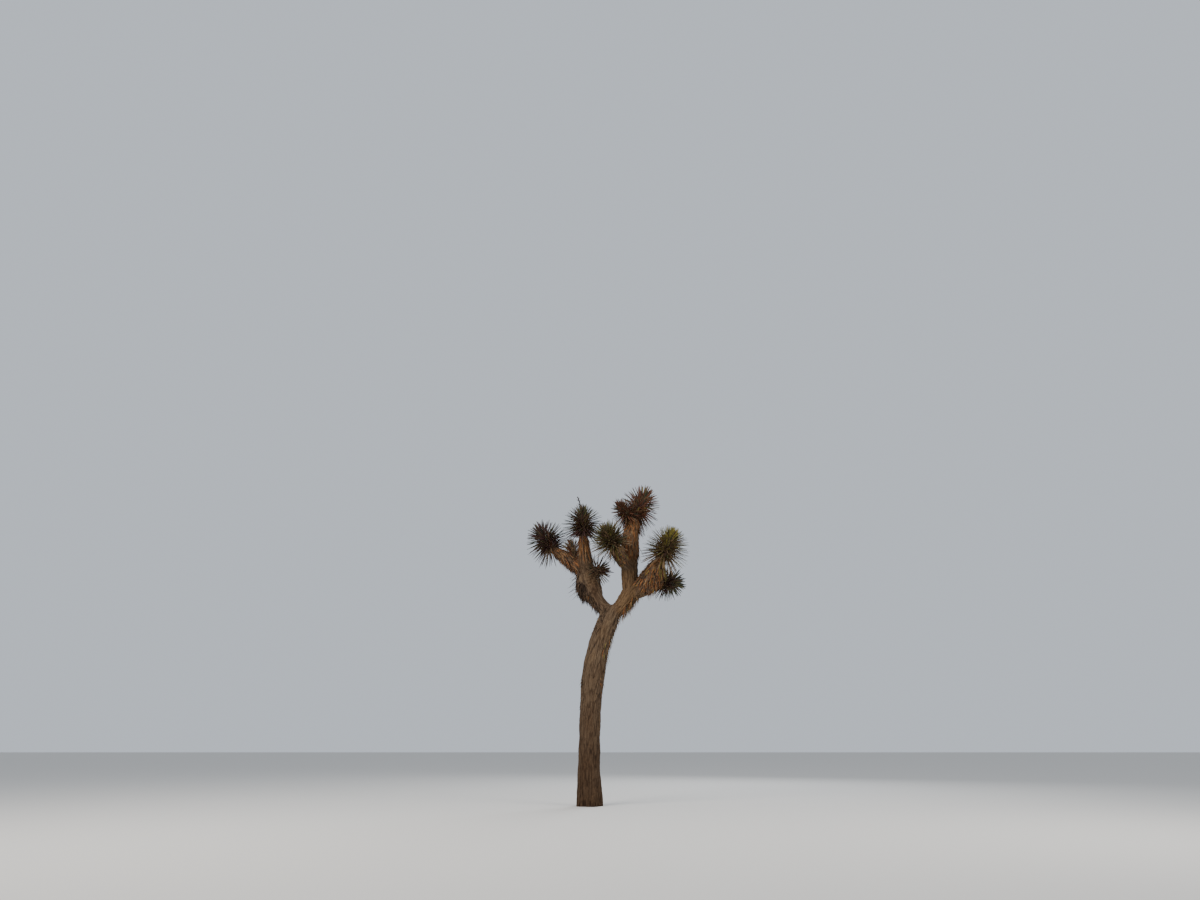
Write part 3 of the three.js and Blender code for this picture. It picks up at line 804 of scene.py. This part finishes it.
def dead_leaves(
    limb, stretch, toward, arc, count, length, lift, tones, order, ragged=0.5, sway=26, broad=1,
):
    """Leaves folded back along a limb, their roots sunk in its bark and their tips standing off it.

    ragged is how far strays stand off, sway how many degrees a leaf swings, and broad its width.
    """
    i = np.arange(count)
    index = order * 10000 + i
    share = mix(*stretch, (i + chance(index, 1)) / count)
    back = -unit(on_path(limb, "tangents", share))
    outward = direction(*toward)
    facing = unit(outward - back * (back @ outward)[:, None])
    turn = arc * (((i * GOLDEN_ANGLE / 360) % 1) - 0.5) + varied(DEAD_TURNS, index, 2)
    out = turned(facing, np.cross(back, facing), np.radians(turn))
    off = lift * varied(DEAD_LIFTS, index, 3) + STRAY_LIFT * ragged * chance(index, 4) ** STRAY_RARITY
    swing = sway * (chance(index, 5) - 0.5)
    swung = turned(back, np.cross(back, out), np.radians(swing))
    down = DOWN - back * (back @ DOWN)[:, None]
    hangs = down - out * np.minimum(0, (down * out).sum(-1))[:, None]
    sunk = bark_reach(limb, share, out) - DEAD_LEAF_SUNK
    return {
        "root": on_path(limb, "points", share) + out * sunk[:, None],
        "heading": turned(swung, out, np.radians(off)),
        "keel": out,
        "reach": length * varied(DEAD_LENGTHS, index, 6),
        "bend": out * varied(DEAD_CURLS, index, 7)[:, None] + DEAD_HANG * hangs,
        "width": DEAD_LEAF_WIDTH * broad * varied(DEAD_WIDTHS, index, 8),
        "thickness": np.full(count, DEAD_LEAF_THICKNESS),
        "tone": dealt(tones, index, 9),
    }


def gathered(groups):
    """Several lists of leaves as one."""
    return {part: np.concatenate([group[part] for group in groups]) for part in groups[0]}


dead_blade = blade_form(DEAD_BLADE)
laid = [dead_leaves(*row, order) for order, row in enumerate(SKIRTS)]
for order, row in enumerate(SCALES):
    laid.append(dead_leaves(*row, 40 + order, ragged=1.2, sway=76, broad=1.5))
skirts = joined_blades("dead_leaf_skirts", dead_blade, gathered(laid), dead_finishes, one_tone)
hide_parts(*[each["name"] for each in boughs])


# Stray dead leaves and torn strips of bark hang on singly: in a fringe under the fork and the right
# boughs, in ragged thatch left of the left bough, and in shreds down the trunk's sides.

SHREDS = [
    (trunk, (0.84, 0.99), (200, 90), 80, 44, 0.075, 13, (0.05, 0.02, 0.48, 0.45, 0)),
    (trunk, (0.74, 0.99), (0, 90), 110, 120, 0.105, 14, (0.16, 0.04, 0.42, 0.3, 0.08)),
    (trunk, (0.50, 0.74), (-10, 90), 110, 60, 0.075, 8, (0.05, 0.03, 0.52, 0.4, 0)),
    (trunk, (0.42, 0.80), (190, 90), 120, 44, 0.065, 8, (0.04, 0.02, 0.5, 0.44, 0)),
    (trunk, (0.575, 0.62), (184, 90), 54, 24, 0.060, 16, (0.02, 0, 0.3, 0.68, 0)),
    (trunk, (0.46, 0.485), (184, 90), 44, 12, 0.050, 14, (0.02, 0, 0.4, 0.58, 0)),
    (trunk, (0.66, 0.73), (-2, 90), 64, 30, 0.080, 13, (0.2, 0.04, 0.42, 0.28, 0.06)),
    (left_bough, (0.12, 0.60), (188, 118), 116, 110, 0.075, 18, (0.05, 0.02, 0.4, 0.53, 0)),
    (left_bough, (0.62, 1.0), (180, 95), 90, 30, 0.170, 52, (0.04, 0.02, 0.3, 0.64, 0)),
    (far_left_bough, (0.40, 0.90), (200, 150), 180, 40, 0.170, 16, (0.3, 0.14, 0.34, 0.22, 0)),
    (upper_left_bough, (0.50, 0.95), (180, 90), 340, 44, 0.180, 14, (0.5, 0.2, 0.2, 0.1, 0)),
    (right_bough, (0.20, 0.98), (-4, 142), 96, 130, 0.110, 20, (0.34, 0.08, 0.28, 0.16, 0.14)),
    (middle_bough, (0.52, 0.94), (0, 90), 350, 60, 0.190, 11, (0.5, 0.2, 0.2, 0.1, 0)),
    (middle_bough, (0.82, 0.91), (-12, 90), 40, 22, 0.140, 42, (0.16, 0.04, 0.30, 0.5, 0)),
    (inner_bough, (0.66, 0.98), (205, 140), 120, 30, 0.140, 70, (0.05, 0.02, 0.33, 0.5, 0.1)),
    (outer_right_bough, (0.30, 0.92), (-30, 150), 280, 90, 0.150, 24, (0.32, 0.06, 0.34, 0.22, 0.06)),
    (outer_right_bough, (0.86, 1.0), (-10, 100), 240, 46, 0.190, 26, (0.05, 0.1, 0.1, 0.05, 0.7)),
]
hanging = [dead_leaves(*row, 20 + order, ragged=1.4) for order, row in enumerate(SHREDS)]
shreds = joined_blades("dead_leaf_shreds", dead_blade, gathered(hanging), dead_finishes, one_tone)


# Stiff dagger leaves stand in heads at the boughs' tips and sides, each head round one bud. The
# lowest reach back along the bough and turn brown, and the youngest close over the bud. Most are
# dark green or olive, some russet, with a brown base and a spine at the tip.

LEAF_WIDTH = 0.017
LEAF_THICKNESS = 0.0070
LEAF_CLEARANCE = 0.006
CLEARANCE_TRIED_AT = (0.25, 0.45, 0.65, 0.85, 1)
HIGHEST_LEAF_SPREAD = 8
HIGHEST_LEAF_AT = 0.84
LEAF_ROOTS_IN_CORE = (0.6, 0.2)
YOUNGEST_LEAF_SHARE = 0.62
HEAD_MIDDLE = 0.6
LEAVES_FOR_FULLNESS = 2.1
LEAVES_INTERLEAVE = 0.035
LEAF_BLADE = [[0, 1.25], [0.12, 1.05], [0.46, 1.0], [0.72, 0.90], [0.92, 0.48], [1, 0]]

# How uneven long leaves are: their length and width as shares of the head's, and the degrees that
# they spread and turn aside. The lowest ones droop most.
LEAF_LENGTHS = (0.88, 1.14)
LEAF_WIDTHS = (0.85, 1.15)
LEAF_SPREADS = (-5, 5)
LEAF_TURNS = (-7, 7)
LEAST_DROOP = 0.02
LOWEST_DROOP = 0.13

# The lowest leaves are a head's oldest ones. On one head, most leaves facing its lit side are painted
# yellow as painted light.
OLDEST_UP_TO = 0.10
OLDER_UP_TO = 0.20
AGE_WANDERS = (-0.05, 0.05)
PAINTED_LIGHT_WITHIN = 0.74
PAINTED_LIGHT_SHARE = 0.8


def new_head(
    name, on, at, grows, stem, sprouts, leaf, core, fullness, lowest, tones, heart, oldest, painted_light_side=None,
):
    """A head on its bough: how it is set, how long and how many its leaves are, and their tones."""
    foot = on_path(on, "points", np.array([at]))[0]
    axis = direction(*grows)
    return {
        "name": name, "foot": foot, "axis": axis, "stem": stem, "tip": foot + axis * stem,
        "middle": foot + axis * stem * HEAD_MIDDLE, "sprouts": sprouts, "leaf": leaf, "core": core,
        "fullness": fullness, "lowest": lowest, "tones": tones, "heart": heart, "oldest": oldest,
        "painted_light_side": painted_light_side,
    }


DEEP, GREEN, OLIVE, YELLOWED_AND_LIT, BROWNED, DRY, DUSKY, RUSSET = range(8)

# Each head's first row: its name, its bough, how far along the bough it sits, which way it grows, its
# stem's length, where on the stem its leaves begin, their length, its core's radius, its fullness,
# which its numbers of long and short leaves follow, and how many degrees its lowest leaves spread
# from its axis. The rows below are the shares of each tone, from deep green to russet, among its long
# leaves and among the short ones at its heart, then the two tones of its oldest leaves and, on one
# head, the side whose leaves are painted yellow as painted light.
heads = [
    new_head("head_far_left", far_left_bough, 1, (160, 37), 0.395, 0.1, 0.304, 0.092, 118, 136,
             (0.34, 0.14, 0.06, 0, 0.08, 0, 0.36, 0.02),
             (0.04, 0, 0.03, 0, 0.17, 0.02, 0.62, 0.12), (BROWNED, DUSKY)),
    new_head("head_upper_left", upper_left_bough, 1, (-103, 6), 0.370, 0.2, 0.292, 0.080, 116, 136,
             (0.36, 0.18, 0.14, 0, 0.10, 0, 0.22, 0),
             (0.08, 0.06, 0.14, 0, 0.26, 0.02, 0.40, 0.04), (DUSKY, DUSKY)),
    new_head("head_back_left", far_left_bough, 0.38, (118, 27), 0.400, 0.35, 0.190, 0.062, 33, 76,
             (0.03, 0.02, 0.10, 0, 0.50, 0.16, 0.05, 0.14),
             (0, 0, 0.08, 0, 0.46, 0.20, 0.06, 0.20), (DRY, BROWNED)),
    new_head("head_inner_left", left_bough, 0.95, (-44, 87), 0.345, 0.5, 0.205, 0.080, 28, 92,
             (0.44, 0.20, 0.04, 0, 0.16, 0.04, 0.12, 0),
             (0, 0, 0.03, 0, 0.55, 0.10, 0.20, 0.12), (DRY, BROWNED)),
    new_head("head_top_right", middle_bough, 1, (28, 29), 0.485, 0.12, 0.280, 0.112, 110, 136,
             (0.20, 0.08, 0.10, 0.01, 0.15, 0, 0.06, 0.40),
             (0.02, 0.02, 0.08, 0.02, 0.22, 0.04, 0.08, 0.52), (BROWNED, RUSSET)),
    new_head("head_top_left", middle_bough, 0.95, (-146, 48), 0.340, 0.3, 0.205, 0.080, 60, 136,
             (0.22, 0.08, 0.06, 0, 0.16, 0, 0.08, 0.40),
             (0, 0, 0.04, 0, 0.30, 0.06, 0.08, 0.52), (BROWNED, RUSSET)),
    new_head("head_middle", inner_bough, 1, (-121, 50), 0.275, 0.1, 0.265, 0.112, 86, 96,
             (0.12, 0.14, 0.42, 0.02, 0.26, 0.02, 0.02, 0),
             (0, 0.02, 0.58, 0.08, 0.26, 0.06, 0, 0), (DRY, BROWNED)),
    new_head("head_right", outer_right_bough, 1, (-37, 29), 0.360, 0.1, 0.306, 0.104, 130, 136,
             (0.14, 0.12, 0.34, 0.05, 0.27, 0.04, 0.04, 0),
             (0, 0.02, 0.22, 0.10, 0.44, 0.20, 0.02, 0), (DRY, BROWNED), (-72, 30)),
    new_head("head_lower_right", lower_right_bough, 1, (31, 88), 0.275, 0.1, 0.240, 0.082, 72, 136,
             (0.50, 0.26, 0.10, 0, 0.06, 0, 0.08, 0),
             (0.16, 0.10, 0.12, 0, 0.30, 0.02, 0.30, 0), (BROWNED, DUSKY)),
]


def round_axis(axis, turn):
    """Directions square to an axis, each turned this far round it."""
    start = unit(np.cross((0, 0, 1), axis))
    return turned(start, np.cross(axis, start), turn)


def head_leaves(head, group):
    """The leaves of a head, from the lowest and widest to the ones round its bud."""
    count = round(head["fullness"] * LEAVES_FOR_FULLNESS)
    i = np.arange(count)
    index = group * 1000 + i
    share = (i + 0.5) / count
    axis = head["axis"]
    lowest = math.cos(math.radians(head["lowest"]))
    highest = math.cos(math.radians(HIGHEST_LEAF_SPREAD))
    spread = np.arccos(mix(lowest, highest, share)) + np.radians(varied(LEAF_SPREADS, index, 1))
    out = round_axis(axis, np.radians(i * GOLDEN_ANGLE + varied(LEAF_TURNS, index, 2)))
    heading = turned(axis, out, spread)
    up = head["stem"] * mix(head["sprouts"], HIGHEST_LEAF_AT, share)
    aside = head["core"] * mix(*LEAF_ROOTS_IN_CORE, share)
    youth = mix(1, YOUNGEST_LEAF_SHARE, share**3)
    droop = LEAST_DROOP + LOWEST_DROOP * (1 - share) * chance(index, 6)
    oldest, older = head["oldest"]
    age = share + varied(AGE_WANDERS, index, 5)
    tone = dealt(head["tones"], index, 4)
    tone = np.where(age < OLDEST_UP_TO, oldest, np.where(age < OLDER_UP_TO, older, tone))
    # Painted light: on the head with a lit side, most leaves that face that side are painted yellow.
    if head["painted_light_side"]:
        lit = heading @ direction(*head["painted_light_side"]) > PAINTED_LIGHT_WITHIN
        tone = np.where(lit & (chance(index, 8) < PAINTED_LIGHT_SHARE), YELLOWED_AND_LIT, tone)
    return {
        "root": head["foot"] + axis * up[:, None] + out * aside[:, None],
        "heading": heading,
        "keel": -axis + 0 * heading,
        "reach": head["leaf"] * youth * varied(LEAF_LENGTHS, index, 3),
        "bend": DOWN * (droop * np.abs(heading[:, :2]).max(-1))[:, None],
        "width": LEAF_WIDTH * varied(LEAF_WIDTHS, index, 7),
        "thickness": np.full(count, LEAF_THICKNESS),
        "tone": tone,
    }


def stays_inside(leaves, head, interleaved):
    """A head's leaves reach only a little way past the plane midway between it and each neighbour."""
    tips = leaves["root"] + leaves["heading"] * leaves["reach"][:, None]
    keeps = np.ones(len(tips), bool)
    for other in heads:
        if other is head:
            continue
        toward = other["middle"] - head["middle"]
        share = head["leaf"] / (head["leaf"] + other["leaf"])
        border = np.linalg.norm(toward) * share + interleaved
        keeps &= (tips - head["middle"]) @ unit(toward) < border
    return keeps


def keeps_clear(leaves):
    """A leaf is left out where it would touch a limb."""
    keeps = np.ones(len(leaves["root"]), bool)
    for step in CLEARANCE_TRIED_AT:
        places = leaves["root"] + leaves["heading"] * (leaves["reach"] * step)[:, None]
        room = LEAF_CLEARANCE + LEAF_WIDTH / 2 * (1 - step)
        for each in limbs:
            share, out, distance = nearest_on(each, places)
            keeps &= distance - reach_of(each, share, out) > room
    return keeps


def kept(leaves, keeps):
    """The leaves that stay."""
    return {part: values[keeps] for part, values in leaves.items()}


def leaf_finish(name, dark, light, roughness=0.54):
    """A stiff waxy leaf, finely mottled."""
    finish, nodes, links, shader = new_finish(name, roughness, specular=0.32)
    place = nodes.new("ShaderNodeTexCoord").outputs["Object"]
    mottle = speckle(nodes, links, place, size=(45, 45, 45), detail=3)
    colour = shade_card(nodes, links, mottle, [[0.32, dark], [0.68, light]])
    links.new(colour, shader.inputs["Base Color"])
    stand_out(nodes, links, shader, mottle, strength=0.2, distance=0.001)
    return finish


leaf_finishes = [
    leaf_finish("deep_green_leaf", (0.015, 0.016, 0.009), (0.037, 0.038, 0.021)),
    leaf_finish("green_leaf", (0.026, 0.029, 0.013), (0.058, 0.062, 0.027)),
    leaf_finish("olive_leaf", (0.058, 0.050, 0.017), (0.124, 0.106, 0.038)),
    # Yellowed leaves, and also the painted light on one head's lit side.
    leaf_finish("yellowed_and_lit_leaf", (0.115, 0.098, 0.016), (0.235, 0.195, 0.040)),
    leaf_finish("browned_leaf", (0.056, 0.034, 0.017), (0.124, 0.077, 0.038), 0.7),
    leaf_finish("dry_leaf", (0.090, 0.052, 0.026), (0.190, 0.120, 0.062), 0.8),
    leaf_finish("dusky_leaf", (0.030, 0.012, 0.011), (0.070, 0.030, 0.027), 0.66),
    leaf_finish("russet_leaf", (0.062, 0.020, 0.009), (0.138, 0.049, 0.022), 0.7),
    leaf_finish("dark_leaf_base", (0.038, 0.018, 0.013), (0.088, 0.044, 0.030), 0.62),
    leaf_finish("brown_leaf_base", (0.072, 0.043, 0.021), (0.160, 0.098, 0.049), 0.62),
    leaf_finish("spine_tip", (0.020, 0.011, 0.006), (0.055, 0.030, 0.015), 0.4),
]
DARK_BASE, BROWN_BASE, SPINE_TIP = 8, 9, 10
BASES = {RUSSET: RUSSET, DEEP: DARK_BASE, DUSKY: DARK_BASE}
BASE_UP_TO = 0.5
SPINE_FROM = 0.92


def leaf_parts(tone, heights):
    """A leaf's base is brown, or russet on a russet leaf, its blade has its own tone, and its tip is a
    brown spine.
    """
    blade_or_tip = np.where(heights > SPINE_FROM, SPINE_TIP, tone)
    return np.where(heights < BASE_UP_TO, BASES.get(tone, BROWN_BASE), blade_or_tip)


all_leaves = []
for group, each in enumerate(heads):
    grown = head_leaves(each, group)
    all_leaves.append(kept(grown, stays_inside(grown, each, LEAVES_INTERLEAVE) & keeps_clear(grown)))
leaf_blade = blade_form(LEAF_BLADE)
foliage = joined_blades("dagger_leaves", leaf_blade, gathered(all_leaves), leaf_finishes, leaf_parts)
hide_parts(*[each["name"] for each in heads])


# Inside each head the stem carries on to its bud, thick with the brown bases of old leaves.
# It is a rounded core turned round the stem, widest halfway up and closing over the bud.

# Each point: core radii out of the stem's middle, and the share of the stem up it.
CORE_OUTLINE = [
    (0, -0.08), (0.66, -0.08), (0.84, 0.22), (0.86, 0.5), (0.70, 0.76), (0.38, 0.92), (0, 0.97),
]
CORE_SIDES = 20


def bud_core(head):
    """A rounded core turned round a head's stem."""
    form = bmesh.new()
    outline = [form.verts.new((out * head["core"], 0, up * head["stem"])) for out, up in CORE_OUTLINE]
    edges = [form.edges.new(pair) for pair in zip(outline, outline[1:])]
    bmesh.ops.spin(
        form, geom=[*outline, *edges], cent=(0, 0, 0), axis=(0, 0, 1), angle=2 * math.pi,
        steps=CORE_SIDES, use_merge=True,
    )
    bmesh.ops.remove_doubles(form, verts=form.verts, dist=MERGE_DISTANCE)
    bmesh.ops.recalc_face_normals(form, faces=form.faces)
    tipped = Vector((0, 0, 1)).rotation_difference(Vector(head["axis"])).to_matrix().to_4x4()
    place = Matrix.Translation(Vector(head["foot"])) @ tipped
    bmesh.ops.transform(form, matrix=place, verts=form.verts)
    return as_mesh(form, "one_core")


core_form = bmesh.new()
for each in heads:
    one = bud_core(each)
    core_form.from_mesh(one)
    bpy.data.meshes.remove(one)
core_mesh = as_mesh(core_form, "bud_cores")
core_mesh.shade_smooth()
core_mesh.materials.append(dry_finish("packed_leaf_bases", (0.020, 0.012, 0.007), (0.080, 0.047, 0.025)))
bud_cores = in_scene("bud_cores", core_mesh)
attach(bud_cores, "root")


# Short young leaves and the stubs of old ones fill each head between its long leaves. They stand out
# of the core all over, square to the stem at its foot and close round the bud at its top.

SHORT_LEAVES_FOR_FULLNESS = 3.6667
SHORT_LEAVES_INTERLEAVE = 0.11
SHORT_LEAVES_END_AT = 0.88
SPREAD_FROM_FOOT_TO_BUD = (96, 6)
LEAST_LONG_LEAF = 0.27
YOUNG_FROM = 0.62
YOUNG_PAINTED_LIGHT_SHARE = 0.6

# How uneven short leaves are: their length as a share of the head's long leaves, their width as a
# share of theirs, and the degrees that they spread and turn aside.
SHORT_LENGTHS = (0.34, 0.66)
SHORT_WIDTHS = (0.85, 1.20)
SHORT_SPREADS = (-13, 13)
SHORT_TURNS = (0, 20)
SHORT_BLADE = [[0, 1.0], [0.45, 0.85], [1, 0]]

# Shares of the stem, and how far out of its middle the short leaves stand there, in core radii.
SHOULDER = [(0, 0.5, 0.8, 1), (0.66, 0.72, 0.5, 0.05)]


def short_leaves(head, group):
    """The short leaves and stubs of a head, from the foot of its core to its bud."""
    count = round(head["fullness"] * SHORT_LEAVES_FOR_FULLNESS)
    i = np.arange(count)
    index = 50000 + group * 1000 + i
    share = (i + 0.5) / count
    axis = head["axis"]
    out = round_axis(axis, np.radians(i * GOLDEN_ANGLE + varied(SHORT_TURNS, index, 1)))
    spread = np.radians(mix(*SPREAD_FROM_FOOT_TO_BUD, share) + varied(SHORT_SPREADS, index, 2))
    up = head["stem"] * mix(0, SHORT_LEAVES_END_AT, share)
    aside = head["core"] * np.interp(share, *SHOULDER)
    tone = dealt(head["heart"], index, 5)
    # Painted light: on the head with a lit side, most young leaves near its top are painted yellow.
    if head["painted_light_side"]:
        lit = (share > YOUNG_FROM) & (chance(index, 6) < YOUNG_PAINTED_LIGHT_SHARE)
        tone = np.where(lit, YELLOWED_AND_LIT, tone)
    return {
        "root": head["foot"] + axis * up[:, None] + out * aside[:, None],
        "heading": turned(axis, out, spread),
        "keel": -axis + 0 * out,
        "reach": max(head["leaf"], LEAST_LONG_LEAF) * varied(SHORT_LENGTHS, index, 3),
        "bend": 0 * out,
        "width": LEAF_WIDTH * varied(SHORT_WIDTHS, index, 4),
        "thickness": np.full(count, LEAF_THICKNESS),
        "tone": tone,
    }


stub_groups = []
for group, each in enumerate(heads):
    grown = short_leaves(each, group)
    stub_groups.append(kept(grown, stays_inside(grown, each, SHORT_LEAVES_INTERLEAVE)))
short_blade = blade_form(SHORT_BLADE)
stubs = joined_blades("young_leaves", short_blade, gathered(stub_groups), leaf_finishes, one_tone)


# A dried flower stalk stands out of the upper left head: last year's, bare and grey brown, with the
# short stubs of its side branches still on it.

STALK_HEADING = (-153, 20)
STALK_LENGTH = 0.31
STALK_SUNK = 0.06
STALK_RADII = (0.0150, 0.006)
STALK_SIDES = 10
STUBS = 9
STUBS_ALONG = (0.36, 0.93)
STUB_SLANT = 0.8
STUB_LENGTHS = (0.052, 0.028)
STUB_LENGTHS_VARY = (0.8, 1.3)
STUB_RADII = (0.0068, 0.0036)
STUB_SIDES = 6

upper_left_head = heads[1]
stalk_way = direction(*STALK_HEADING)
stalk_foot = upper_left_head["tip"] - stalk_way * STALK_SUNK


def stalk_part(form, foot, way, length, radii, sides):
    """A tapering round stick with a blunt end."""
    stick = bmesh.ops.create_cone(
        form, cap_ends=True, segments=sides, radius1=radii[0], radius2=radii[1], depth=length,
    )
    turn = Vector((0, 0, 1)).rotation_difference(Vector(way)).to_matrix().to_4x4()
    place = Matrix.Translation(Vector(foot)) @ turn @ Matrix.Translation((0, 0, length / 2))
    bmesh.ops.transform(form, matrix=place, verts=stick["verts"])


stalk_form = bmesh.new()
stalk_part(stalk_form, stalk_foot, stalk_way, STALK_LENGTH, STALK_RADII, STALK_SIDES)
for stub in range(STUBS):
    share = mix(*STUBS_ALONG, stub / (STUBS - 1))
    side = unit(np.cross(stalk_way, direction(stub * GOLDEN_ANGLE, 90)))
    foot = stalk_foot + stalk_way * STALK_LENGTH * share
    length = mix(*STUB_LENGTHS, share) * varied(STUB_LENGTHS_VARY, stub, 3)
    stalk_part(stalk_form, foot, unit(stalk_way * STUB_SLANT + side), length, STUB_RADII, STUB_SIDES)
stalk_mesh = as_mesh(stalk_form, "dried_flower_stalk")
stalk_mesh.materials.append(dry_finish("dried_stalk", (0.016, 0.011, 0.010), (0.050, 0.035, 0.028)))
stalk = in_scene("dried_flower_stalk", stalk_mesh)
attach(stalk, "root")
